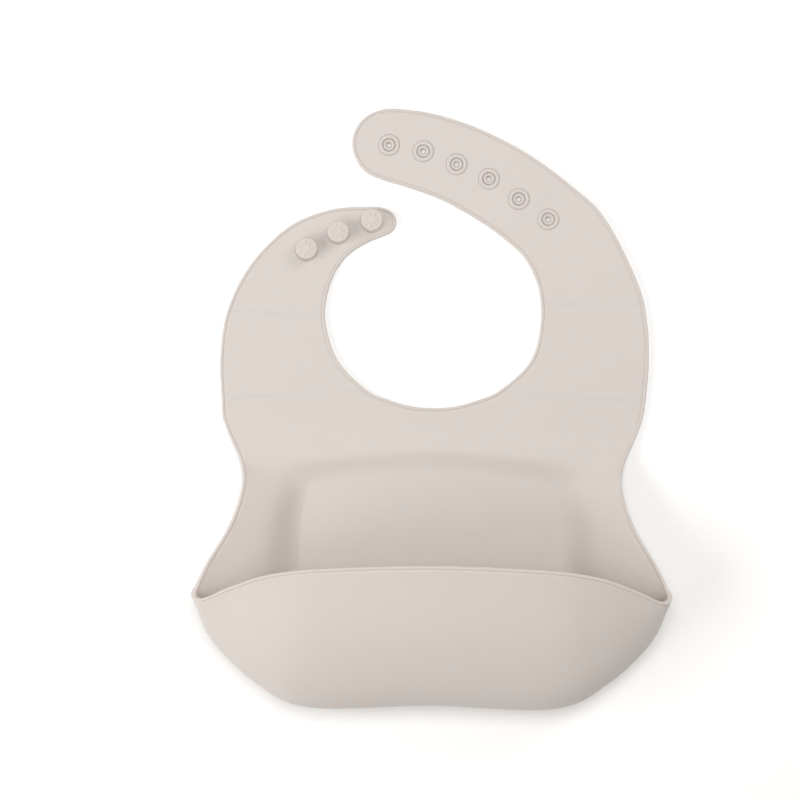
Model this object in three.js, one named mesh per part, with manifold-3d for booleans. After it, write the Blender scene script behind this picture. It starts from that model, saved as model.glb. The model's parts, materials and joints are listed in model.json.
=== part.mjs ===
// A moulded silicone feeding bib with a catch pocket, lying on its back.
// Millimetres, +Z out of the front face, +Y towards the neck straps, +X to the wearer's left.
// The bib is one elastic skin, so it is cut into stiff stretches with soft flex strips between.
import * as THREE from 'three';
import { ParametricGeometry } from 'three/addons/geometries/ParametricGeometry.js';
import { mergeVertices } from 'three/addons/utils/BufferGeometryUtils.js';
import Module from 'manifold-3d';

const wasm = await Module();
wasm.setup();

// ---------------------------------------------------------------- driving dimensions
const SHEET = 2.0;              // thickness of the skin
const GAP = 0.3;                // clearance between neighbouring stretches
const CHEST_LINE_Y = -14;       // where the flat chest gives way to the shaped pocket
const CORNER_X = 116.3;          // half the width across the pocket's top corners
const STRAP_FLEX = 8;           // length of a soft strip across a strap
const EYELET_FLEX = 4.6;        // the same between two eyelets
const FRONT_FLEX = 0.36;        // share of a row step taken by the soft strip of the pocket front
const FRONT_FLEX_ROW = 8.1;     // row where the pocket front starts to move
const SIDE_COLUMN = 2;          // net column where back and front walls meet the side gussets
const SIDE_GAP = 0.02;          // clearance of the still pieces there, in columns
const SIDE_GAP_MOVING = 0.05;   // clearance of the moving front there, in columns
const ROW_GAP = 0.015;          // clearance between pieces one above the other, in rows
const TROUGH_ROW = 5.5;         // row where the back wall ends and the trough starts
const RIM_FOOT = 0.06;          // how far below the rim the front wall stops, in rows
const RIM_BEAD_R = 1.5;         // rounded lip along the pocket front
const OUTLINE_STEP = 0.2;       // rung steps between points of an outline

const EYELET_FLANGE_R = 5.35;
const EYELET_CREST_R = 4.05;
const EYELET_WELL_R = 2.85;
const EYELET_LIP_R = 1.95;
const EYELET_HOLE_R = 1.45;
const EYELET_HEIGHT = 2.8;

const BUTTON_HEAD_R = 5.6;
const BUTTON_STEM_R = 2.3;
const BUTTON_HEIGHT = 5.2;      // above the strap's front face
const BUTTON_HEAD_THICK = 2.6;

const ROUND_SEGMENTS = 18;

// Rungs across each strap, from the chest to the tip: [outer x, outer y, inner x, inner y].
const BUTTON_SIDE = [
  [-105.3, 4.3, -33.3, 9.3],
  [-106.2, 23.3, -47.8, 24.3],
  [-103.8, 44.3, -53.8, 43.3],
  [-96.3, 63.3, -52.8, 57.3],
  [-84.8, 79.3, -48.3, 69.3],
  [-69.3, 92.3, -41.3, 77.8],
  [-50.3, 99.3, -31.8, 83.5],
  [-33.8, 100.5, -24.3, 86.5],
];
const BUTTON_TIP = [[-25.5, 100.2], [-20.2, 97.3], [-18.8, 93.0], [-20.6, 88.6]];
const HOLE_SIDE = [
  [106.3, 4.3, 33.3, 9.3],
  [107.8, 23.3, 48.8, 24.0],
  [106.8, 44.3, 53.8, 43.3],
  [101.8, 64.3, 52.5, 60.8],
  [85.8, 95.3, 45.8, 75.3],
  [69.3, 111.3, 35.3, 85.3],
  [47.3, 127.3, 21.3, 95.0],
  [23.8, 139.3, 3.8, 104.5],
  [1.3, 146.8, -12.3, 110.3],
  [-18.3, 149.6, -27.8, 115.0],
];
const HOLE_TIP = [
  [-28.5, 148.6], [-36.0, 144.2], [-40.3, 137.0], [-40.8, 130.0], [-38.8, 123.8], [-34.3, 118.3],
];
const NECK_BOTTOM = [[-21.8, 4.2], [-11, 1.2], [0, 0.3], [11, 1.2], [21.8, 4.2]];
const CHEST_SIDE = [[105.6, -0.8], [104.4, -5.8], [102.8, -10.8], [101.2, CHEST_LINE_Y]];

const BUTTONS = [[-63.3, 79.3], [-47.6, 87.8], [-30.9, 93.8]];
const EYELETS = [[-22.7, 131.5], [-5.6, 128.5], [11.1, 122.1], [27.3, 115], [42.3, 105], [57.1, 95]];

// Flex strips: the rung they lie on.
const BUTTON_SHOULDER_RUNG = 1;
const BUTTON_STRAP_RUNG = 3.35;
const HOLE_SHOULDER_RUNG = 1;
const HOLE_STRAP_RUNG = 4;
const HOLE_END_RUNG = 6.7;

// The pocket's net, from the chest line down the back wall, round the trough and up to the rim.
// Each row runs from the middle to the edge: five points [x, y, z] of the skin's mid surface.
const POCKET_ROWS = [
  // chest line, flat
  [[0, CHEST_LINE_Y, 1], [50, CHEST_LINE_Y, 1], [76, CHEST_LINE_Y, 1], [90, CHEST_LINE_Y, 1],
    [101.2, CHEST_LINE_Y, 1]],
  // lip above the recessed tray
  [[0, -20.5, 2.8], [50, -24, 3.2], [71, -26.5, 3.8], [84, -27, 4.5], [95.6, -27, 5]],
  // top of the tray floor
  [[0, -31, 1], [50, -34, 1.1], [65, -38.5, 1.6], [77, -39, 6.2], [94.2, -39, 11]],
  // tray floor
  [[0, -55, 1], [52, -55, 1], [68, -58, 1.6], [81, -58, 9.6], [99.7, -57.5, 16]],
  [[0, -84, 1], [54, -84, 1], [70, -84, 2], [85, -81, 13], [110.2, -76, 23]],
  // level with the corners
  [[0, -112, 1], [56, -112, 1], [77, -108, 3], [98, -97.5, 16.5],
    [CORNER_X - 1.1, -86.9, 27.4]],
  // back of the trough
  [[0, -134, 4], [58, -134, 4], [84.5, -123, 6], [107.8, -104.3, 14.5],
    [CORNER_X, -89.6, 28.8]],
  // outermost line of the trough
  [[0, -144.8, 15], [60, -146.2, 15], [86, -134.6, 15], [107.8, -113.3, 18],
    [CORNER_X - 0.3, -91.7, 30]],
  // lower front
  [[0, -139.5, 32], [58, -140.5, 31], [84, -129.5, 29], [106.4, -110.8, 25.5],
    [CORNER_X - 2.1, -92.9, 31.2]],
  // middle of the front
  [[0, -113, 45], [56, -114, 43], [81, -110.5, 38.5], [103.2, -101.5, 32.5],
    [CORNER_X - 4.7, -92.9, 32.4]],
  // rim
  [[0, -75, 52], [54, -77, 49.5], [80, -80.6, 44.5], [97.8, -86.8, 38.5], [CORNER_X - 8.5, -91.5, 34]],
];
const LAST_ROW = POCKET_ROWS.length - 1;
const LAST_COLUMN = 4;

// ---------------------------------------------------------------- materials
const silicone = { color: '#dad0c9', roughness: 0.55, metalness: 0 };
const softSilicone = { color: '#d2c7bf', roughness: 0.6, metalness: 0 };

// ---------------------------------------------------------------- helpers
const bib = new THREE.Group();

function weld(geometry) {
  const bare = geometry.clone();
  bare.deleteAttribute('normal');
  bare.deleteAttribute('uv');
  const welded = mergeVertices(bare, 1e-4);
  const index = welded.getIndex().array;
  const kept = [];
  for (let i = 0; i < index.length; i += 3) {
    const [a, b, c] = [index[i], index[i + 1], index[i + 2]];
    if (a !== b && b !== c && c !== a) {
      kept.push(a, b, c);
    }
  }
  welded.setIndex(kept);
  return welded;
}

function toSolid(geometry) {
  const welded = weld(geometry);
  return new wasm.Manifold(new wasm.Mesh({
    numProp: 3,
    vertProperties: new Float32Array(welded.getAttribute('position').array),
    triVerts: new Uint32Array(welded.getIndex().array),
  }));
}

function toGeometry(solid) {
  const mesh = solid.getMesh();
  const geometry = new THREE.BufferGeometry();
  geometry.setAttribute('position', new THREE.BufferAttribute(mesh.vertProperties, 3));
  geometry.setIndex(new THREE.BufferAttribute(mesh.triVerts, 1));
  geometry.computeVertexNormals();
  return geometry;
}

function addPiece(name, geometry, finish = silicone) {
  const mesh = new THREE.Mesh(geometry, new THREE.MeshStandardMaterial(finish));
  mesh.name = name;
  bib.add(mesh);
  return mesh;
}

// ---------------------------------------------------------------- flat stretches
function band(rungs) {
  const outer = new THREE.SplineCurve(rungs.map(([x, y]) => new THREE.Vector2(x, y)));
  const inner = new THREE.SplineCurve(rungs.map(([, , x, y]) => new THREE.Vector2(x, y)));
  const last = rungs.length - 1;
  const at = (curve) => (rung) => curve.getPoint(rung / last);
  return { outer: at(outer), inner: at(inner), last };
}

function along(edge, from, to) {
  const count = Math.max(1, Math.ceil(Math.abs(to - from) / OUTLINE_STEP));
  return Array.from({ length: count + 1 }, (_, i) => edge(from + ((to - from) * i) / count));
}

// How many rungs a length along the middle of the band comes to.
function rungsFor(strap, rung, length) {
  const probe = 0.05;
  const middle = (r) => strap.outer(r).add(strap.inner(r)).multiplyScalar(0.5);
  const perRung = middle(rung + probe).distanceTo(middle(rung - probe)) / (2 * probe);
  return length / perRung;
}

function rounded(points, tension = 0.5) {
  const curve = new THREE.CatmullRomCurve3(
    points.map((p) => new THREE.Vector3(p.x, p.y, 0)), false, 'catmullrom', tension);
  return curve.getPoints(points.length * 3).map((p) => new THREE.Vector2(p.x, p.y));
}

const asVectors = (list) => list.map(([x, y]) => new THREE.Vector2(x, y));

function flatPiece(name, outline, holes = [], finish = silicone) {
  const shape = new THREE.Shape(outline);
  for (const [x, y] of holes) {
    const hole = new THREE.Path();
    hole.absarc(x, y, EYELET_FLANGE_R + GAP, 0, 2 * Math.PI, true);
    shape.holes.push(hole);
  }
  const geometry = new THREE.ExtrudeGeometry(shape, {
    depth: SHEET, bevelEnabled: false, curveSegments: ROUND_SEGMENTS,
  });
  return addPiece(name, toGeometry(toSolid(geometry)), finish);
}

function bandPiece(name, strap, from, to, holes = [], finish = silicone) {
  const outline = [...along(strap.outer, from, to), ...along(strap.inner, to, from)];
  return flatPiece(name, outline, holes, finish);
}

function tipPiece(name, strap, from, tip, holes) {
  const end = rounded([strap.outer(strap.last), ...asVectors(tip), strap.inner(strap.last)]);
  const outline = [
    ...along(strap.outer, from, strap.last),
    ...end.slice(1, -1),
    ...along(strap.inner, strap.last, from),
  ];
  return flatPiece(name, outline, holes);
}

const buttonSide = band(BUTTON_SIDE);
const holeSide = band(HOLE_SIDE);

function flexEnds(strap, rung, length) {
  const half = rungsFor(strap, rung, length) / 2;
  const gap = rungsFor(strap, rung, GAP);
  return { before: rung - half - gap, from: rung - half, to: rung + half, after: rung + half + gap };
}

const buttonShoulder = flexEnds(buttonSide, BUTTON_SHOULDER_RUNG, STRAP_FLEX);
const buttonStrap = flexEnds(buttonSide, BUTTON_STRAP_RUNG, STRAP_FLEX);
const holeShoulder = flexEnds(holeSide, HOLE_SHOULDER_RUNG, STRAP_FLEX);
const holeStrap = flexEnds(holeSide, HOLE_STRAP_RUNG, STRAP_FLEX);
const holeEnd = flexEnds(holeSide, HOLE_END_RUNG, EYELET_FLEX);

function makeChest() {
  const rightSide = asVectors(CHEST_SIDE);
  const leftSide = rightSide.map((p) => new THREE.Vector2(-p.x, p.y)).reverse();
  const neck = rounded([buttonSide.inner(0), ...asVectors(NECK_BOTTOM), holeSide.inner(0)]);
  flatPiece('chest_panel', [
    ...leftSide.map((p) => new THREE.Vector2(p.x, p.y + (p.y === CHEST_LINE_Y ? GAP : 0))),
    ...along(buttonSide.outer, 0, buttonShoulder.before),
    ...along(buttonSide.inner, buttonShoulder.before, 0),
    ...neck.slice(1, -1),
    ...along(holeSide.inner, 0, holeShoulder.before),
    ...along(holeSide.outer, holeShoulder.before, 0),
    ...rightSide.map((p) => new THREE.Vector2(p.x, p.y + (p.y === CHEST_LINE_Y ? GAP : 0))),
  ]);
}

function makeStraps() {
  bandPiece('button_shoulder_flex', buttonSide, buttonShoulder.from, buttonShoulder.to, [], softSilicone);
  bandPiece('button_shoulder', buttonSide, buttonShoulder.after, buttonStrap.before);
  bandPiece('button_strap_flex', buttonSide, buttonStrap.from, buttonStrap.to, [], softSilicone);
  tipPiece('button_strap', buttonSide, buttonStrap.after, BUTTON_TIP, []);
  bandPiece('hole_shoulder_flex', holeSide, holeShoulder.from, holeShoulder.to, [], softSilicone);
  bandPiece('hole_shoulder', holeSide, holeShoulder.after, holeStrap.before);
  bandPiece('hole_strap_flex', holeSide, holeStrap.from, holeStrap.to, [], softSilicone);
  bandPiece('hole_strap', holeSide, holeStrap.after, holeEnd.before, EYELETS.slice(3));
  bandPiece('hole_strap_end_flex', holeSide, holeEnd.from, holeEnd.to, [], softSilicone);
  tipPiece('hole_strap_end', holeSide, holeEnd.after, HOLE_TIP, EYELETS.slice(0, 3));
}

// ---------------------------------------------------------------- round pieces
function lathePiece(name, profile, x, y) {
  const geometry = new THREE.LatheGeometry(
    profile.map(([r, z]) => new THREE.Vector2(r, z)), ROUND_SEGMENTS);
  geometry.rotateX(Math.PI / 2);
  geometry.translate(x, y, 0);
  return addPiece(name, toGeometry(toSolid(geometry)));
}

function makeButtons() {
  const foot = SHEET + GAP;
  const top = SHEET + BUTTON_HEIGHT;
  const underside = top - BUTTON_HEAD_THICK;
  const profile = [
    [0, foot],
    [BUTTON_STEM_R + 0.6, foot],
    [BUTTON_STEM_R, foot + 0.8],
    [BUTTON_STEM_R, underside],
    [BUTTON_HEAD_R - 0.4, underside],
    [BUTTON_HEAD_R, underside + 0.7],
    [BUTTON_HEAD_R - 0.5, top - 0.5],
    [BUTTON_HEAD_R - 1.6, top],
    [0, top],
  ];
  BUTTONS.forEach(([x, y], i) => lathePiece(`button_${i + 1}`, profile, x, y));
}

function makeEyelets() {
  const membraneTop = 1.7;
  const membraneFoot = 0.6;
  const profile = [
    [EYELET_HOLE_R, membraneFoot],
    [EYELET_WELL_R, 0],
    [EYELET_FLANGE_R, 0],
    [EYELET_FLANGE_R, SHEET],
    [EYELET_CREST_R, EYELET_HEIGHT],
    [EYELET_WELL_R, EYELET_HEIGHT - 0.3],
    [EYELET_WELL_R, membraneTop - 0.3],
    [EYELET_LIP_R, membraneTop],
    [EYELET_HOLE_R, membraneTop - 0.2],
    [EYELET_HOLE_R, membraneFoot],
  ];
  EYELETS.forEach(([x, y], i) => lathePiece(`eyelet_${i + 1}`, profile, x, y));
}

// ---------------------------------------------------------------- shaped pocket
const pocketRows = POCKET_ROWS.map((row) => {
  const right = row.map(([x, y, z]) => new THREE.Vector3(x, y, z));
  const left = right.slice(1).reverse().map((p) => new THREE.Vector3(-p.x, p.y, p.z));
  return new THREE.CatmullRomCurve3([...left, ...right], false, 'catmullrom', 0.5);
});

// A point of the mid surface: column from -4 to 4, row from 0 to the rim.
function pocketPoint(column, row) {
  const across = (column + LAST_COLUMN) / (2 * LAST_COLUMN);
  const rail = new THREE.CatmullRomCurve3(
    pocketRows.map((curve) => curve.getPoint(across)), false, 'catmullrom', 0.5);
  const point = rail.getPoint(row / LAST_ROW);
  point.z = Math.max(point.z, SHEET / 2);
  return point;
}

function pocketNormal(column, row) {
  const step = 0.01;
  const c0 = Math.max(-LAST_COLUMN, column - step);
  const c1 = Math.min(LAST_COLUMN, column + step);
  const r0 = Math.max(0, row - step);
  const r1 = Math.min(LAST_ROW, row + step);
  const acrossway = pocketPoint(c1, row).sub(pocketPoint(c0, row));
  const downway = pocketPoint(column, r1).sub(pocketPoint(column, r0));
  return downway.cross(acrossway).normalize();
}

// A closed slab of the skin between two columns and two rows: its section's outline goes round
// the front face and back along the rear one, and both ends close on the mid line.
function skinPiece(name, columns, rows, [across, down], finish = silicone) {
  const [c0, c1] = columns;
  const [r0, r1] = rows;
  const loop = 2 * across + 2;
  const surface = (u, v, target) => {
    const step = Math.round(u * loop) % loop;
    const front = step <= across;
    const share = front ? step / across : (loop - 1 - step) / across;
    const ring = Math.round(v * (down + 2));
    const row = r0 + ((r1 - r0) * Math.min(Math.max(ring - 1, 0), down)) / down;
    const column = c0 + (c1 - c0) * share;
    const capped = ring === 0 || ring === down + 2;
    const side = capped ? 0 : (front ? 1 : -1) * (SHEET / 2);
    target.copy(pocketPoint(column, row)).addScaledVector(pocketNormal(column, row), side);
  };
  const geometry = new ParametricGeometry(surface, loop, down + 2);
  let solid = toSolid(geometry);
  if (solid.volume() < 0) {
    geometry.index.array.reverse();
    solid = toSolid(geometry);
  }
  return addPiece(name, toGeometry(solid), finish);
}

function makeRim(inner) {
  const points = Array.from({ length: 25 }, (_, i) => pocketPoint(inner * (-1 + i / 12), LAST_ROW));
  const path = new THREE.CatmullRomCurve3(points);
  const section = new THREE.Shape().absarc(0, 0, RIM_BEAD_R, 0, 2 * Math.PI);
  const geometry = new THREE.ExtrudeGeometry(section, {
    steps: 40, curveSegments: 5, extrudePath: path, bevelEnabled: false,
  });
  addPiece('pocket_rim', toGeometry(toSolid(geometry)));
}

function makePocket() {
  const still = SIDE_COLUMN - SIDE_GAP;
  const moving = SIDE_COLUMN - SIDE_GAP_MOVING;
  const flexTop = FRONT_FLEX_ROW + FRONT_FLEX;
  skinPiece('pocket_back_wall', [-still, still], [0, TROUGH_ROW], [12, 14]);
  skinPiece('pocket_trough', [-still, still], [TROUGH_ROW + ROW_GAP, FRONT_FLEX_ROW - ROW_GAP], [12, 9]);
  skinPiece('pocket_front_flex', [-moving, moving], [FRONT_FLEX_ROW, flexTop], [12, 2], softSilicone);
  skinPiece('pocket_front_wall', [-moving, moving], [flexTop + ROW_GAP, LAST_ROW - RIM_FOOT], [12, 6]);
  skinPiece('pocket_right_gusset', [SIDE_COLUMN, LAST_COLUMN], [0, LAST_ROW], [7, 30]);
  skinPiece('pocket_left_gusset', [-LAST_COLUMN, -SIDE_COLUMN], [0, LAST_ROW], [7, 30]);
  makeRim(moving);
}

makeChest();
makeStraps();
makeButtons();
makeEyelets();
makePocket();

// The origin is under the middle of the bib's box, on the surface that it lies on.
const box = new THREE.Box3().setFromObject(bib);
const middle = box.getCenter(new THREE.Vector3());
bib.position.set(-middle.x, -middle.y, -box.min.z);

export default bib;
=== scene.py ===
"""A moulded silicone feeding bib with a catch pocket, lying on its back on a pale table.

Lengths below are in millimetres in the outline's own frame, with +Y towards the neck straps and
+Z out of the front. They become metres in the shared frame as each mesh is written.
"""
import json
import math
import bpy
import numpy as np
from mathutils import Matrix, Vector


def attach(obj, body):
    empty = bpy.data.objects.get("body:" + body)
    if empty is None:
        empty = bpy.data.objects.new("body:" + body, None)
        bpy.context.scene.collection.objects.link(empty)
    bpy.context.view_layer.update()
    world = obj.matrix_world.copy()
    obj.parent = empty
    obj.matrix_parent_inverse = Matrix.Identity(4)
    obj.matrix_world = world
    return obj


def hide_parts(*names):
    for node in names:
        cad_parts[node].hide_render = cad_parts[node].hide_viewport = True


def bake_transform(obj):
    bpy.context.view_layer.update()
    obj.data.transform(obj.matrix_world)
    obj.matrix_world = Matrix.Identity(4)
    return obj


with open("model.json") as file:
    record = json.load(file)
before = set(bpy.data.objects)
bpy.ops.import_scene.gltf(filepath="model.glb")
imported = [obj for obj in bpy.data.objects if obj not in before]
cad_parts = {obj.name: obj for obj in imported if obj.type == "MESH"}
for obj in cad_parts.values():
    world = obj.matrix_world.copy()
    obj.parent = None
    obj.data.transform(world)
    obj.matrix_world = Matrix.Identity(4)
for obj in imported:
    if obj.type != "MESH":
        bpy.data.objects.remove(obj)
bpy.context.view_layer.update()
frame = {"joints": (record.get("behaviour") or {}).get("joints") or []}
MM = 0.001

# ------------------------------------------------------------------ driving dimensions
SHEET = 2.0             # thickness of the skin
MID_Z = 1.0             # height of the skin's middle where it lies flat
BEAD = 1.7              # width of the rounded edge
BEAD_REACH = 6.0        # the skin is drawn in for the bead over this far from its edge
GRID = 1.6              # spacing of the skin's mesh

BUTTON_HEAD_R = 5.6
BUTTON_STEM_R = 2.3
BUTTON_TOP = 7.2
EYELET_R = 5.6          # the flange that is sunk in the skin
EYELET_HOLE_R = 5.45    # the skin stops here, and shows a fine groove

# Rungs across each strap from the chest to the tip: outer x, outer y, inner x, inner y.
BUTTON_SIDE = [
    (-105.3, 4.3, -33.3, 9.3),
    (-106.2, 23.3, -47.8, 24.3),
    (-103.8, 44.3, -53.8, 43.3),
    (-96.3, 63.3, -52.8, 57.3),
    (-84.8, 79.3, -48.3, 69.3),
    (-69.3, 92.3, -41.3, 77.8),
    (-50.3, 99.3, -31.8, 83.5),
    (-33.8, 100.5, -24.3, 86.5),
]
BUTTON_TIP = [(-25.5, 100.2), (-20.2, 97.3), (-18.8, 93.0), (-20.6, 88.6)]
HOLE_SIDE = [
    (106.3, 4.3, 33.3, 9.3),
    (107.8, 23.3, 48.8, 24.0),
    (106.8, 44.3, 53.8, 43.3),
    (101.8, 64.3, 52.5, 60.8),
    (85.8, 95.3, 45.8, 75.3),
    (69.3, 111.3, 35.3, 85.3),
    (47.3, 127.3, 21.3, 95.0),
    (23.8, 139.3, 3.8, 104.5),
    (1.3, 146.8, -12.3, 110.3),
    (-18.3, 149.6, -27.8, 115.0),
]
HOLE_TIP = [(-28.5, 148.6), (-36.0, 144.2), (-40.3, 137.0), (-40.8, 130.0), (-38.8, 123.8), (-34.3, 118.3)]
NECK_BOTTOM = [(-21.8, 4.2), (-11.0, 1.2), (0.0, 0.3), (11.0, 1.2), (21.8, 4.2)]

BUTTONS = [(-63.3, 79.3), (-47.6, 87.8), (-30.9, 93.8)]
# For each button, where the flash is round the rim, how wide it is and how proud.
BUTTON_FLASH = [(1.7, 0.08, 0.35), (0.4, 0.3, 0.06), (4.6, 0.32, 0.22)]
EYELETS_PAST_HINGE = 3  # the first of them lie past the hole strap's last hinge
EYELETS = [(-22.7, 131.5), (-5.6, 128.5), (11.1, 122.1), (27.3, 115.0), (42.3, 105.0), (57.1, 95.0)]

# Where one skin ends and the next begins, in rungs. Each seam lies on a flat, still stretch.
CHEST_SEAM = 0.0
BUTTON_SEAM = 2.2
HOLE_SEAM = 2.5
EYELET_SEAM = 5.15

# The pocket's net from below the neck, down the back, round the trough and up to the rim.
# Each row runs from the middle to the edge. The first row only guides the slope at the second.
POCKET_ROWS = [
    [(0, 5, 1), (50, 5, 1), (76, 5, 1), (91, 5, 1), (105.8, 5, 1)],
    [(0, -5, 1), (50, -5, 1), (76, -5, 1), (91, -5, 1), (104.7, -5, 1)],
    [(0, -13, 1.2), (50, -14, 1.3), (76, -14, 1.5), (89, -14, 1.6), (101.4, -14, 1.8)],
    [(0, -20.5, 2.8), (50, -24, 3.2), (71, -26.5, 3.8), (84, -27, 4.5), (95.6, -27, 5)],
    [(0, -31, 1), (50, -34, 1.1), (65, -38.5, 1.6), (77, -39, 6.2), (94.2, -39, 11)],
    [(0, -55, 1), (52, -55, 1), (68, -58, 1.6), (81, -58, 9.6), (99.7, -57.5, 16)],
    [(0, -84, 1), (54, -84, 1), (70, -84, 2), (85, -81, 13), (110.2, -76, 23)],
    [(0, -112, 1), (56, -112, 1), (77, -108, 3), (98, -97.5, 16.5), (115.2, -86.9, 27.4)],
    [(0, -134, 4), (58, -134, 4), (84.5, -123, 6), (107.8, -104.3, 14.5), (116.3, -89.6, 28.8)],
    [(0, -144.8, 15), (60, -146.2, 15), (86, -134.6, 15), (107.8, -113.3, 18), (116.0, -91.7, 30)],
    [(0, -139.5, 32), (58, -140.5, 31), (84, -129.5, 29), (106.4, -110.8, 25.5), (114.2, -92.9, 31.2)],
    [(0, -113, 45), (56, -114, 43), (81, -110.5, 38.5), (103.2, -101.5, 32.5), (111.6, -92.9, 32.4)],
    [(0, -75, 52), (54, -77, 49.5), (80, -80.6, 44.5), (97.8, -86.8, 38.5), (107.8, -91.5, 34)],
]

# The rounded edge, in steps outwards from the skin's own edge: how far out, and how far above its
# middle. Where the skin lies on the table its back stays flat; where it stands up both sides swell.
EDGE_FRONT = [
    (0.12, 0.9), (0.26, 1.0), (0.48, 1.24), (0.85, 1.36),
    (1.22, 1.27), (1.5, 0.98), (1.65, 0.58), (1.7, 0.2),
]
EDGE_FLAT_BACK = [
    (0.2, -1.0), (0.4, -1.0), (0.7, -1.0), (1.0, -1.0),
    (1.3, -1.0), (1.54, -0.85), (1.66, -0.5), (1.7, -0.2),
]
LIES_FLAT = 3.0         # below this height the skin rests on the table
SWELL_OVER = 9.0        # above it, the back's rounding grows over this much height


def joint_named(name):
    return next(j for j in frame["joints"] if j["name"] == name)


# The outline's frame lies a little above the shared one, whose origin is under the box's middle.
shoulder_rung = BUTTON_SIDE[1]
SHIFT_Y = joint_named("button_shoulder_flex")["pos_m"][1] / MM - (shoulder_rung[1] + shoulder_rung[3]) / 2


def to_frame(points):
    """Millimetres of the outline to metres of the shared frame."""
    return (np.asarray(points, float).reshape(-1, 3) + (0.0, SHIFT_Y, 0.0)) * MM


# ------------------------------------------------------------------ curves
def spline(points, t):
    """Smooth curve through points; t counts them from 0."""
    p = np.asarray(points, float)
    p = np.vstack([2 * p[0] - p[1], p, 2 * p[-1] - p[-2]])
    t = np.clip(np.atleast_1d(np.asarray(t, float)), 0, len(p) - 3)
    i = np.minimum(t.astype(int), len(p) - 4)
    f = (t - i)[:, None]
    a, b, c, d = p[i], p[i + 1], p[i + 2], p[i + 3]
    return 0.5 * (2 * b + (c - a) * f + (2 * a - 5 * b + 4 * c - d) * f**2 + (3 * b - a - 3 * c + d) * f**3)


def lengths(points):
    steps = np.linalg.norm(np.diff(points, axis=0), axis=1)
    return np.concatenate([[0], np.cumsum(steps)])


def evenly(curve, t0, t1):
    """Values of t from t0 to t1 that step evenly along a curve, one mesh spacing apart."""
    fine = np.linspace(t0, t1, 400)
    run = lengths(curve(fine))
    count = int(round(run[-1] / GRID)) + 1
    return np.interp(np.linspace(0, run[-1], count), run, fine)


def flat(points):
    """Points of the plane, at the height of the flat skin's middle."""
    p = np.asarray(points, float)
    return np.column_stack([p, np.full(len(p), MID_Z)])


class Strap:
    """The two edges of a strap, counted in rungs. Each runs on into the chest and the tip."""

    def __init__(self, rungs, tip, side):
        table = np.asarray(rungs, float)
        waist = (side * POCKET_ROWS[1][-1][0], POCKET_ROWS[1][-1][1])
        neck = NECK_BOTTOM[0] if side < 0 else NECK_BOTTOM[-1]
        self.rungs = table
        self.outer_net = np.vstack([waist, table[:, :2], tip[0]])
        self.inner_net = np.vstack([neck, table[:, 2:], tip[-1]])

    def outer(self, t):
        return spline(self.outer_net, np.asarray(t) + 1)

    def inner(self, t):
        return spline(self.inner_net, np.asarray(t) + 1)

    def middle(self, t):
        return (self.outer(t) + self.inner(t)) / 2


button_strap_edges = Strap(BUTTON_SIDE, BUTTON_TIP, -1)
hole_strap_edges = Strap(HOLE_SIDE, HOLE_TIP, 1)


# ------------------------------------------------------------------ skins
def unit(v):
    return v / np.maximum(np.linalg.norm(v, axis=-1, keepdims=True), 1e-12)


def smooth_along(values, passes):
    """Evens out directions along a path, keeping its ends."""
    v = values.copy()
    for _ in range(passes):
        v[1:-1] = unit(v[:-2] + 2 * v[1:-1] + v[2:])
    return v


def grid_normals(grid):
    """Normals of a grid of points [row, column], up where it lies flat."""
    faces = unit(np.cross(grid[1:, 1:] - grid[:-1, :-1], grid[:-1, 1:] - grid[1:, :-1]))
    normals = np.zeros_like(grid)
    for row in (0, 1):
        for column in (0, 1):
            normals[row:row + faces.shape[0], column:column + faces.shape[1]] += faces
    return unit(normals)


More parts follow.
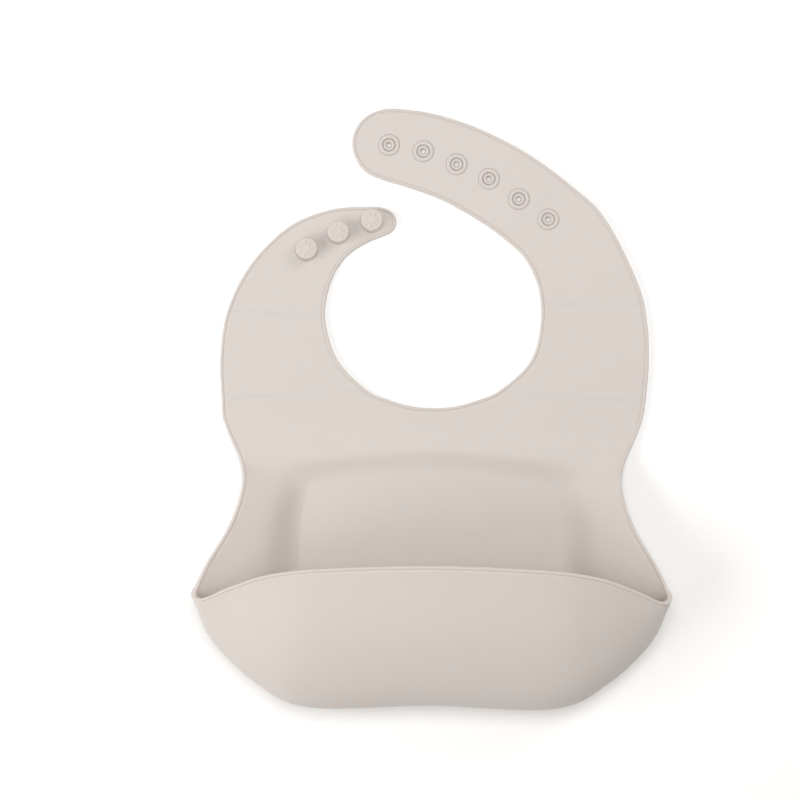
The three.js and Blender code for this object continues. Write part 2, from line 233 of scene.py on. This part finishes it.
class Skin:
    """A grid of the skin's middle, with rounded edges along some of its sides."""

    def __init__(self, grid):
        self.grid = np.asarray(grid, float)
        self.rows, self.columns = self.grid.shape[:2]
        self.normals = grid_normals(self.grid)
        if self.normals[0, self.columns // 2, 2] < 0:
            self.normals = -self.normals
        self.edges = []

    def add_edge(self, path, ends=(None, None)):
        """path is a list of (row, column) round the grid's side. ends are the directions there."""
        self.edges.append((list(path), ends))

    def path_frames(self, path, ends):
        """Points along an edge path, with the ways out of the skin and up from it."""
        rows = np.array([p[0] for p in path])
        cols = np.array([p[1] for p in path])
        points = self.grid[rows, cols]
        tangent = unit(np.gradient(points, axis=0))
        tangent = smooth_along(tangent, passes=6)
        normal = smooth_along(self.normals[rows, cols], passes=30)
        for k, end in zip((0, -1), ends):
            if end is not None:
                tangent[k] = unit(np.array([*end, 0.0]))
                normal[k] = (0, 0, 1)
        outward = unit(np.cross(tangent, normal))
        inside = self.grid[np.clip(rows, 1, self.rows - 2), np.clip(cols, 1, self.columns - 2)]
        if np.sum((points - inside) * outward) < 0:
            outward = -outward
        return points, outward, normal

    def match_seams(self, pull, frames):
        """Near an edge path's open ends, draws each row in along itself, as the next skin does."""
        fade = 8
        for (path, ends), (_, outward, _) in zip(self.edges, frames):
            for order in (1, -1):
                row, column = path[::order][0]
                aside = 1 if path[::order][1][0] == row else 0
                if ends[0 if order == 1 else 1] is None or aside:
                    continue
                step = 1 if column == 0 else -1
                for k in range(fade):
                    line = self.grid[row + k] if row == 0 else self.grid[row - k]
                    target = pull[row + k] if row == 0 else pull[row - k]
                    line, target = line[::step], target[::step]
                    gap = np.linalg.norm(line - line[0], axis=1)
                    share = np.clip(1 - gap / BEAD_REACH, 0, 1)[:, None]
                    near = (share > 0)[:, 0]
                    out = outward[k] if order == 1 else outward[-1 - k]
                    weight = k / fade
                    target[near] = target[near] * weight - out * BEAD * share[near] * (1 - weight)

    def draw_in(self, frames):
        """The grid with the skin drawn in from its edges, to leave room for the rounding."""
        points = self.grid.reshape(-1, 3)
        nearest = np.full(len(points), BEAD_REACH)
        pull = np.zeros_like(points)
        batch = 4000
        for path_points, outward, _ in frames:
            for start in range(0, len(points), batch):
                gap = np.linalg.norm(points[start:start + batch, None] - path_points[None], axis=2)
                best = gap.argmin(1)
                distance = gap[np.arange(len(gap)), best]
                closer = distance < nearest[start:start + batch]
                where = start + np.flatnonzero(closer)
                nearest[where] = distance[closer]
                share = (1 - distance[closer] / BEAD_REACH)[:, None]
                pull[where] = -outward[best[closer]] * BEAD * share
        pull = pull.reshape(self.grid.shape)
        self.match_seams(pull, frames)
        return self.grid + pull

    def build(self, name):
        """Makes the skin from a flat grid: placed, thickened, then its edges extruded round."""
        frames = [self.path_frames(path, ends) for path, ends in self.edges]
        middle = self.draw_in(frames)
        half = self.normals * (SHEET / 2)
        faces = np.vstack([(middle + half).reshape(-1, 3), (middle - half).reshape(-1, 3)])
        count = self.rows * self.columns

        bpy.ops.object.select_all(action="DESELECT")
        bpy.ops.mesh.primitive_grid_add(
            x_subdivisions=self.columns - 1, y_subdivisions=self.rows - 1, size=1
        )
        piece = bpy.context.object
        piece.name = name
        piece.data.name = name
        place_points(piece, faces[:count])
        wall = piece.modifiers.new("wall", "SOLIDIFY")
        wall.thickness = SHEET * MM
        bpy.ops.object.modifier_apply(modifier=wall.name)
        place_points(piece, faces)

        for (path, _), (_, outward, normal) in zip(self.edges, frames):
            index = np.array([row * self.columns + column for row, column in path])
            root = middle.reshape(-1, 3)[index]
            lift = np.clip((root[:, 2:] - LIES_FLAT) / SWELL_OVER, 0, 1)
            lift = lift * lift * (3 - 2 * lift)
            front, back = index, index + count
            on_path = np.zeros(len(piece.data.vertices), bool)
            on_path[front] = on_path[back] = True
            choose_faces(piece, on_path, front, count)
            for (front_out, front_up), (back_out, back_up) in zip(EDGE_FRONT, EDGE_FLAT_BACK):
                out = back_out + (front_out - back_out) * lift
                up = back_up + (-front_up - back_up) * lift
                above = root + outward * front_out + normal * front_up
                below = root + outward * out + normal * up
                front, back = extrude_strip(piece, front, back, above, below)
        make_normals_consistent(piece)
        return piece


# ------------------------------------------------------------------ operators
def select_only(piece):
    bpy.ops.object.select_all(action="DESELECT")
    piece.select_set(True)
    bpy.context.view_layer.objects.active = piece


def place_points(piece, points):
    piece.data.vertices.foreach_set("co", to_frame(points).ravel())
    piece.data.update()


def choose_faces(piece, on_path, front, count):
    """Selects only the strip of wall under an edge path."""
    select_only(piece)
    bpy.ops.object.mode_set(mode="EDIT")
    bpy.ops.mesh.select_mode(type="FACE")
    bpy.ops.mesh.select_all(action="DESELECT")
    bpy.ops.object.mode_set(mode="OBJECT")
    steps = {frozenset(pair) for pair in zip(front.tolist(), front.tolist()[1:])}
    for face in piece.data.polygons:
        corners = list(face.vertices)
        if all(on_path[corners]) and frozenset(v for v in corners if v < count) in steps:
            face.select = sum(v < count for v in corners) == 2


def extrude_strip(piece, front, back, above, below):
    """Extrudes the selected strip and moves its two edges to new places. Returns their vertices."""
    mesh = piece.data
    before = len(mesh.vertices)
    old = np.empty(before * 3)
    mesh.vertices.foreach_get("co", old)
    old = old.reshape(-1, 3)
    bpy.ops.object.mode_set(mode="EDIT")
    bpy.ops.mesh.extrude_region()
    bpy.ops.object.mode_set(mode="OBJECT")
    points = np.empty(len(mesh.vertices) * 3)
    mesh.vertices.foreach_get("co", points)
    points = points.reshape(-1, 3)
    chosen = np.zeros(len(points), bool)
    mesh.vertices.foreach_get("select", chosen)
    chosen = np.flatnonzero(chosen)
    found = []
    for edge in (front, back):
        gap = np.linalg.norm(old[edge][:, None] - points[chosen][None], axis=2)
        found.append(chosen[gap.argmin(1)])
    for new, target in zip(found, (above, below)):
        points[new] = to_frame(target)
    mesh.vertices.foreach_set("co", points.ravel())
    mesh.update()
    return found


def make_normals_consistent(piece, doubles=0.0):
    select_only(piece)
    bpy.ops.object.mode_set(mode="EDIT")
    bpy.ops.mesh.select_all(action="SELECT")
    if doubles:
        bpy.ops.mesh.remove_doubles(threshold=doubles)
        bpy.ops.mesh.delete_loose()
        bpy.ops.mesh.select_all(action="SELECT")
    bpy.ops.mesh.normals_make_consistent(inside=False)
    bpy.ops.object.mode_set(mode="OBJECT")


def shade(piece, angle):
    select_only(piece)
    bpy.ops.object.shade_smooth_by_angle(angle=math.radians(angle))


def finish_piece(piece, body, nodes, material, angle=40):
    shade(piece, angle)
    piece.data.materials.clear()
    piece.data.materials.append(material)
    if body is not None:
        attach(piece, body)
    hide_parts(*nodes)


# ------------------------------------------------------------------ material
class Socket:
    """A value in a node tree that can be added, scaled and mixed like a number."""

    def __init__(self, tree, socket):
        self.tree = tree
        self.socket = socket

    def node(self, kind, settings=None, inputs=None, output=0):
        made = self.tree.nodes.new(kind)
        for key, value in (settings or {}).items():
            setattr(made, key, value)
        for key, value in (inputs or {}).items():
            if isinstance(value, Socket):
                self.tree.links.new(value.socket, made.inputs[key])
            else:
                made.inputs[key].default_value = value
        return Socket(self.tree, made.outputs[output])

    def math(self, operation, *values):
        return self.node("ShaderNodeMath", {"operation": operation}, dict(enumerate(values)))

    def __add__(self, other):
        return self.math("ADD", self, other)

    def __radd__(self, other):
        return self.math("ADD", other, self)

    def __sub__(self, other):
        return self.math("SUBTRACT", self, other)

    def __mul__(self, other):
        return self.math("MULTIPLY", self, other)

    def __rmul__(self, other):
        return self.math("MULTIPLY", other, self)

    def __gt__(self, other):
        return self.math("GREATER_THAN", self, other)

    def __lt__(self, other):
        return self.math("LESS_THAN", self, other)


def mixed(mask, a, b):
    """Colour a where mask is 0 and b where it is 1."""
    return mask.node(
        "ShaderNodeMix", {"data_type": "RGBA"}, {0: mask, 6: a, 7: b}, output=2
    )


def new_material(name, **constants):
    material = bpy.data.materials.new(name)
    material.use_nodes = True
    tree = material.node_tree
    shader = tree.nodes["Principled BSDF"]
    for key, value in constants.items():
        shader.inputs[key.replace("_", " ")].default_value = value
    return material, tree, shader


def noise(place, scale, detail=3.0, roughness=0.5):
    return place.node(
        "ShaderNodeTexNoise",
        {"noise_dimensions": "3D"},
        {"Vector": place, "Scale": scale, "Detail": detail, "Roughness": roughness},
    )


def make_silicone():
    """Matt moulded silicone: warm grey-beige, faintly mottled, with a few specks of lint."""
    material, tree, shader = new_material(
        "bib_silicone",
        Roughness=0.5,
        Subsurface_Weight=0.12,
        Subsurface_Radius=(0.006, 0.004, 0.003),
        Subsurface_Scale=1.0,
        Sheen_Weight=0.08,
        Sheen_Roughness=0.5,
    )
    coordinates = tree.nodes.new("ShaderNodeTexCoord")
    place = Socket(tree, coordinates.outputs["Object"])
    broad = noise(place, 18.0, 2.0)
    fine = noise(place, 900.0, 3.0, 0.6)
    warm = (0.650, 0.594, 0.558, 1)
    cool = (0.634, 0.587, 0.560, 1)
    mottle = (0.600, 0.550, 0.520, 1)
    lint_grey = (0.42, 0.37, 0.33, 1)
    colour = mixed(broad, warm, cool)
    colour = mixed((fine - 0.5) * 0.35 + 0.5, colour, mottle)
    lint = {"Vector": place, "Scale": 34.0}
    lint_gap = place.node("ShaderNodeTexVoronoi", {"voronoi_dimensions": "2D"}, lint)
    lint_draw = place.node("ShaderNodeTexVoronoi", {"voronoi_dimensions": "2D"}, lint, output=1)
    speck_reach, speck_rarity = 0.012, 0.72
    speck = (lint_gap < speck_reach) * (lint_draw > speck_rarity)
    colour = mixed(speck * 0.5, colour, lint_grey)
    tree.links.new(colour.socket, shader.inputs["Base Color"])
    rough = 0.47 + 0.12 * broad + 0.06 * fine
    tree.links.new(rough.socket, shader.inputs["Roughness"])
    grain = noise(place, 1600.0, 2.0, 0.5)
    sway = noise(place, 30.0, 1.0, 0.4)
    height = grain * 0.000010 + fine * 0.000012 + sway * 0.00022
    bump = height.node("ShaderNodeBump", {}, {"Height": height, "Strength": 1.0, "Distance": 1.0})
    tree.links.new(bump.socket, shader.inputs["Normal"])
    return material


silicone = make_silicone()


# ------------------------------------------------------------------ strap skins
def strap_rows(strap, samples, columns):
    """Rows of points from the outer edge to the inner one."""
    outer = flat(strap.outer(samples))
    inner = flat(strap.inner(samples))
    share = np.linspace(0, 1, columns)[None, :, None]
    return outer[:, None] * (1 - share) + inner[:, None] * share


def slope_at(edge, t):
    step = 0.01
    a, b = edge(np.array([t - step, t + step]))
    return b - a


def column_path(column, first, last):
    step = 1 if last >= first else -1
    return [(row, column) for row in range(first, last + step, step)]


def make_strap_skin(name, strap, start, end, tip=None, columns=31):
    samples = evenly(strap.middle, start, end)
    grid = strap_rows(strap, samples, columns)
    if tip is not None:
        grid = np.vstack([grid, tip_rows(strap, tip, columns)])
    skin = Skin(grid)
    last = skin.rows - 1
    if tip is None:
        ends = [slope_at(strap.outer, t) for t in (samples[0], samples[-1])]
        skin.add_edge(column_path(0, 0, last), ends)
        ends = [slope_at(strap.inner, t) for t in (samples[0], samples[-1])]
        skin.add_edge(column_path(columns - 1, 0, last), ends)
    else:
        path = column_path(0, 0, last)
        path += [(last, column) for column in range(1, columns)]
        path += column_path(columns - 1, last - 1, 0)
        ends = (slope_at(strap.outer, samples[0]), -slope_at(strap.inner, samples[0]))
        skin.add_edge(path, ends)
    return skin.build(name)


def tip_rows(strap, tip, columns):
    """Rows that carry a strap's grid round its end."""
    ends = [*strap.rungs[-2:, :2], *tip, *strap.rungs[:-3:-1, 2:]]
    last = len(ends) - 2
    fine = np.linspace(1, last, 600)
    run = lengths(spline(ends, fine))
    total = run[-1]

    def at(share):
        return spline(ends, np.interp(np.asarray(share) * total, run, fine))

    side_share = 0.3        # of the way round the tip, on each side of its cap
    steps = max(3, int(round(side_share * total / GRID)))
    share = np.linspace(0, 1, columns)[:, None]
    cap = at(np.linspace(side_share, 1 - side_share, columns))
    cap_chord = cap[0] * (1 - share) + cap[-1] * share
    rows = []
    for k in range(1, steps + 1):
        along = side_share * k / steps
        left, right = at([along, 1 - along])
        chord = left * (1 - share) + right * share
        rows.append(flat(chord + (cap - cap_chord) * (k / steps) ** 2))
    return np.array(rows)


# ------------------------------------------------------------------ front skin
def pocket_row(row, columns):
    """One row of the pocket's net, from its left edge to its right, as many points as columns."""
    widths = np.asarray(POCKET_ROWS, float)[1:, :, 0].mean(0)
    half = np.interp(np.linspace(0, widths[-1], columns // 2 + 1), widths, np.arange(len(widths)))
    net = np.asarray(POCKET_ROWS[row], float)
    net = np.vstack([net[:0:-1] * (-1, 1, 1), net])
    middle = len(net) // 2
    return spline(net, np.concatenate([middle - half[:0:-1], middle + half]))


def pocket_grid(columns):
    """Rows of points down the back of the pocket, round the trough and up to the rim."""
    rails = np.array([pocket_row(k, columns) for k in range(len(POCKET_ROWS))])
    down = evenly(lambda t: spline(rails[:, columns // 2], t), 1, len(rails) - 1)
    return np.array([spline(rails[:, c], down) for c in range(columns)]).transpose(1, 0, 2)


def spline_rows(net, t):
    """The row between the rows of a net, t counting them from 0."""
    return np.array([spline(net[:, c], t)[0] for c in range(net.shape[1])])


def relax(grid, passes):
    """Evens out the inside of a grid, leaving its border where it is."""
    g = grid.copy()
    for _ in range(passes):
        around = g[:-2, 1:-1] + g[2:, 1:-1] + g[1:-1, :-2] + g[1:-1, 2:]
        g[1:-1, 1:-1] = 0.5 * g[1:-1, 1:-1] + 0.125 * around
    return g


def make_front_skin():
    columns = 161
    rung_columns = 40
    pocket = relax(pocket_grid(columns), 6)
    pocket[..., 2] = np.maximum(pocket[..., 2], MID_Z)
    left = button_strap_edges
    right = hole_strap_edges
    left_rungs = left.rungs[:2].reshape(2, 2, 2)
    right_rungs = right.rungs[:2].reshape(2, 2, 2)
    neck_points = [
        left_rungs[1, 1], left_rungs[0, 1], *NECK_BOTTOM, right_rungs[0, 1], right_rungs[1, 1],
    ]
    neck_run = np.linspace(1, len(neck_points) - 2, columns - 2 * rung_columns)
    neck = spline(neck_points, neck_run)
    share = np.linspace(0, 1, rung_columns + 1)[:-1, None]
    left_rung = left_rungs[0, 0] * (1 - share) + left_rungs[0, 1] * share
    right_rung = (right_rungs[0, 0] * (1 - share) + right_rungs[0, 1] * share)[::-1]
    top = np.vstack([left_rung, neck, right_rung])
    rise = np.linspace(left_rungs[1, 0] - left_rungs[0, 0], right_rungs[1, 0] - right_rungs[0, 0], columns)
    net = np.array([flat(top + rise), flat(top), pocket[0], pocket_row(2, columns)])
    chest_rows = 7
    chest = [spline_rows(net, 1 + k / chest_rows) for k in range(chest_rows)]
    grid = np.vstack([np.array(chest), pocket])
    skin = Skin(grid)
    last = skin.rows - 1
    first_neck, last_neck = rung_columns, columns - 1 - rung_columns
    skin.add_edge(
        [(0, c) for c in range(first_neck, last_neck + 1)],
        (-slope_at(left.inner, 0), slope_at(right.inner, 0)),
    )
    path = column_path(0, 0, last)
    path += [(last, c) for c in range(1, columns)]
    path += column_path(columns - 1, last - 1, 0)
    skin.add_edge(path, (-slope_at(left.outer, 0), slope_at(right.outer, 0)))
    return skin.build("front_skin")


def blend_ends(strap, rung, flex, reach):
    """Two points square to a hinge, this far before it and past it."""
    joint = joint_named(flex)
    pivot = Vector(joint["pos_m"])
    across = Vector(joint["axis"])
    ahead = Vector((-across.y, across.x, 0)).normalized()
    along = slope_at(strap.middle, rung)
    if ahead.x * along[0] + ahead.y * along[1] < 0:
        ahead = -ahead
    return pivot - ahead * reach * MM, pivot + ahead * reach * MM


def cut_holes(piece, places):
    """Clears the skin under each eyelet."""
    for x, y in places:
        centre = to_frame([x, y, MID_Z])[0]
        select_only(piece)
        bpy.ops.mesh.primitive_cylinder_add(
            vertices=96, radius=EYELET_HOLE_R * MM, depth=8 * MM, location=centre
        )
        cutter = bpy.context.object
        select_only(piece)
        cut = piece.modifiers.new("hole", "BOOLEAN")
        cut.operation = "DIFFERENCE"
        cut.solver = "EXACT"
        cut.object = cutter
        bpy.ops.object.modifier_apply(modifier=cut.name)
        bpy.data.objects.remove(cutter)


def make_skins():
    front = make_front_skin()
    hinge = joint_named("pocket_front_flex")["pos_m"]
    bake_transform(front)
    finish_piece(front, None, [
        "chest_panel", "pocket_back_wall", "pocket_trough", "pocket_left_gusset", "pocket_right_gusset",
        "pocket_front_flex", "pocket_front_wall", "pocket_rim",
    ], silicone)

    # Name, strap, first and last rung, tip, the hinge's rung, how far the bend reaches to each side,
    # the bodies before and after it, the CAD nodes shown, and the eyelets set in the skin.
    table = [
        ("button_shoulder_skin", button_strap_edges, CHEST_SEAM, BUTTON_SEAM, None, 1, 5.0,
         "bib_front", "button_shoulder", ["button_shoulder_flex", "button_shoulder"], []),
        ("button_strap_skin", button_strap_edges, BUTTON_SEAM, 7, BUTTON_TIP, 3.35, 5.0,
         "button_shoulder", "button_strap", ["button_strap_flex", "button_strap"], []),
        ("hole_shoulder_skin", hole_strap_edges, CHEST_SEAM, HOLE_SEAM, None, 1, 5.0,
         "bib_front", "hole_shoulder", ["hole_shoulder_flex", "hole_shoulder"], []),
        ("hole_strap_skin", hole_strap_edges, HOLE_SEAM, EYELET_SEAM, None, 4, 5.0,
         "hole_shoulder", "hole_strap", ["hole_strap_flex", "hole_strap"], EYELETS[5:]),
        ("hole_strap_end_skin", hole_strap_edges, EYELET_SEAM, 9, HOLE_TIP, 6.7, 2.8,
         "hole_strap", "hole_strap_end", ["hole_strap_end_flex", "hole_strap_end"], EYELETS[:5]),
    ]
    for name, strap, start, end, tip, rung, reach, before, after, nodes, holes in table:
        piece = make_strap_skin(name, strap, start, end, tip)
        cut_holes(piece, holes)
        near, far = blend_ends(strap, rung, nodes[0], reach)
        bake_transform(piece)
        finish_piece(piece, None, nodes, silicone)


# ------------------------------------------------------------------ round pieces
def turned(name, profile, steps=64):
    """A closed profile of (radius, height), turned round the Z axis."""
    bpy.ops.object.select_all(action="DESELECT")
    bpy.ops.mesh.primitive_circle_add(vertices=len(profile), radius=MM, location=(0, 0, 0))
    piece = bpy.context.object
    piece.name = name
    for vertex, (radius, height) in zip(piece.data.vertices, profile):
        vertex.co = (radius * MM, 0, height * MM)
    bpy.ops.object.mode_set(mode="EDIT")
    bpy.ops.mesh.select_all(action="SELECT")
    bpy.ops.mesh.spin(steps=steps, angle=2 * math.pi, center=(0, 0, 0), axis=(0, 0, 1))
    bpy.ops.object.mode_set(mode="OBJECT")
    make_normals_consistent(piece, doubles=0.00001)
    return piece


def place_piece(piece, x, y, turn=0.0):
    piece.location = to_frame([x, y, 0])[0]
    piece.rotation_euler = (0, 0, turn)
    select_only(piece)
    bpy.ops.object.transform_apply(location=True, rotation=True, scale=True)


def eyelet_profile():
    """The eyelet's section: a flange sunk in the skin, a raised ring, a groove and a soft lip."""
    return [
        (1.05, 0.6), (1.2, 0.3), (1.7, 0.1), (2.5, 0.0), (5.4, 0.0), (EYELET_R, 0.15), (EYELET_R, 1.7),
        (5.48, 1.8), (5.34, 1.82), (5.26, 1.88), (5.2, 2.02), (5.08, 2.22), (4.85, 2.38), (4.5, 2.46),
        (3.65, 2.46), (3.46, 2.4), (3.36, 2.24), (3.28, 1.5), (3.16, 1.22), (2.94, 1.22), (2.84, 1.5),
        (2.76, 2.02), (2.6, 2.22), (2.35, 2.3), (2.0, 2.28), (1.72, 2.14), (1.52, 1.9), (1.34, 1.55),
        (1.12, 1.2),
    ]


def button_profile():
    """Stem and head; the first and last points lie on the axis."""
    stem = BUTTON_STEM_R
    head = BUTTON_HEAD_R
    top = BUTTON_TOP
    return [
        (0.0, 1.6), (stem + 1.1, 1.6), (stem + 0.9, 2.02), (stem + 0.35, 2.2), (stem, 2.7), (stem, 4.1),
        (stem + 0.3, 4.5), (stem + 0.9, 4.62), (head - 0.75, 4.75), (head - 0.25, 4.95), (head, 5.35),
        (head - 0.02, 5.75), (head - 0.2, 6.25), (head - 0.5, 6.65), (head - 0.85, 6.85), (head - 1.1, 6.86),
        (head - 1.3, 6.82), (head - 1.55, 6.86), (head - 2.0, 6.96), (2.6, top - 0.08),
        (1.3, top - 0.01), (0.0, top),
    ]


def notch_button(piece):
    """Eight shallow rays pressed into the head's top."""
    rays = 8
    reach_in, reach_out = 1.5, 4.5
    depth, half_width = 0.3, 0.6
    face_from = 6.5
    for vertex in piece.data.vertices:
        x, y, z = vertex.co / MM
        radius = math.hypot(x, y)
        if z < face_from or not reach_in < radius < reach_out:
            continue
        turn = (math.atan2(y, x) * rays / (2 * math.pi)) % 1.0
        aside = min(turn, 1 - turn) * 2 * math.pi / rays * radius
        across = max(0.0, 1 - (aside / half_width) ** 2)
        along = math.sin(math.pi * (radius - reach_in) / (reach_out - reach_in)) ** 0.6
        vertex.co.z -= depth * MM * across * along


def leave_flash(piece, angle, width, proud):
    """A little of the mould's flash left on the head's rim."""
    rim_depth = 0.9
    rim_from, rim_to = 4.7, 6.0
    for vertex in piece.data.vertices:
        x, y, z = vertex.co / MM
        radius = math.hypot(x, y)
        if radius < BUTTON_HEAD_R - rim_depth or not rim_from < z < rim_to:
            continue
        turn = abs((math.atan2(y, x) - angle + math.pi) % (2 * math.pi) - math.pi)
        grow = 1 + proud / radius * math.exp(-(turn / width) ** 2)
        vertex.co.x *= grow
        vertex.co.y *= grow


def make_buttons():
    for i, (x, y) in enumerate(BUTTONS, start=1):
        piece = turned(f"button_{i}_knob", refine(button_profile(), spacing=0.22), steps=160)
        notch_button(piece)
        leave_flash(piece, *BUTTON_FLASH[i - 1])
        small_turn = math.radians(4 * i - 6)
        place_piece(piece, x, y, small_turn)
        finish_piece(piece, "button_strap", [f"button_{i}"], silicone, angle=50)


def refine(profile, spacing):
    """Adds points to a profile so that no step is longer than spacing."""
    points = [profile[0]]
    for a, b in zip(profile, profile[1:]):
        pieces = max(1, math.ceil(math.dist(a, b) / spacing))
        points += [
            (a[0] + (b[0] - a[0]) * k / pieces, a[1] + (b[1] - a[1]) * k / pieces)
            for k in range(1, pieces + 1)
        ]
    return points


def make_eyelets():
    for i, (x, y) in enumerate(EYELETS, start=1):
        piece = turned(f"eyelet_{i}_ring", eyelet_profile(), steps=72)
        place_piece(piece, x, y)
        body = "hole_strap_end" if i <= EYELETS_PAST_HINGE else "hole_strap"
        finish_piece(piece, body, [f"eyelet_{i}"], silicone, angle=60)


# ------------------------------------------------------------------ studio
CAMERA_HEIGHT = 1.2
FRAME_WIDTH = 0.400           # what the camera sees at the table, from side to side
FRAME_CENTRE = (-0.01625, 0.00341)
CAMERA_ROLL = math.radians(0.45)


def make_camera():
    data = bpy.data.cameras.new("camera")
    data.sensor_width = 36.0
    data.lens = data.sensor_width * CAMERA_HEIGHT / FRAME_WIDTH
    data.clip_end = 10.0
    camera = bpy.data.objects.new("camera", data)
    camera.location = (*FRAME_CENTRE, CAMERA_HEIGHT)
    camera.rotation_euler = (0, 0, CAMERA_ROLL)
    bpy.context.scene.collection.objects.link(camera)
    bpy.context.scene.camera = camera


LIGHT_DISTANCE = 1.3
LIGHT_SIZE = 0.6
TABLE_SIZE = 6
TABLE_HEIGHT = -0.0004        # just clear of the bib's back
# Azimuth from +X, elevation, power in watts.
LIGHTS = {
    "overhead": (90, 80, 7.1),
    "lower_left": (210, 32, 4.4),
    "left": (180, 32, 3.7),
    "upper_right": (45, 32, 3.8),
}
SKY = 0.355
SKY_TINT = (1.0, 0.965, 0.915, 1)


def add_light(name, azimuth, elevation, power):
    turn, tilt = math.radians(azimuth), math.radians(elevation)
    place = LIGHT_DISTANCE * Vector(
        (math.cos(tilt) * math.cos(turn), math.cos(tilt) * math.sin(turn), math.sin(tilt))
    )
    data = bpy.data.lights.new(name, "AREA")
    data.shape = "DISK"
    data.size = LIGHT_SIZE
    data.energy = power
    light = bpy.data.objects.new(name, data)
    light.location = place
    light.rotation_euler = (-place).to_track_quat("-Z", "Y").to_euler()
    bpy.context.scene.collection.objects.link(light)


def make_floor():
    bpy.ops.object.select_all(action="DESELECT")
    bpy.ops.mesh.primitive_plane_add(size=TABLE_SIZE, location=(0, 0, TABLE_HEIGHT))
    floor = bpy.context.object
    floor.name = "table_top"
    material, tree, shader = new_material(
        "table_white",
        Base_Color=(0.94, 0.94, 0.94, 1),
        Emission_Color=(1, 1, 1, 1),
        Emission_Strength=0.08,
    )
    coordinates = tree.nodes.new("ShaderNodeTexCoord")
    place = Socket(tree, coordinates.outputs["Object"])
    rough = 0.55 + 0.1 * noise(place, 60.0)
    tree.links.new(rough.socket, shader.inputs["Roughness"])
    floor.data.materials.append(material)


def make_studio():
    make_floor()
    for name, (azimuth, elevation, power) in LIGHTS.items():
        add_light(name, azimuth, elevation, power)
    world = bpy.data.worlds.new("studio")
    world.use_nodes = True
    world.node_tree.nodes["Background"].inputs["Color"].default_value = SKY_TINT
    world.node_tree.nodes["Background"].inputs["Strength"].default_value = SKY
    bpy.context.scene.world = world
    bpy.context.scene.view_settings.view_transform = "Standard"


make_camera()
make_studio()
make_skins()
make_buttons()
make_eyelets()

bpy.context.view_layer.update()
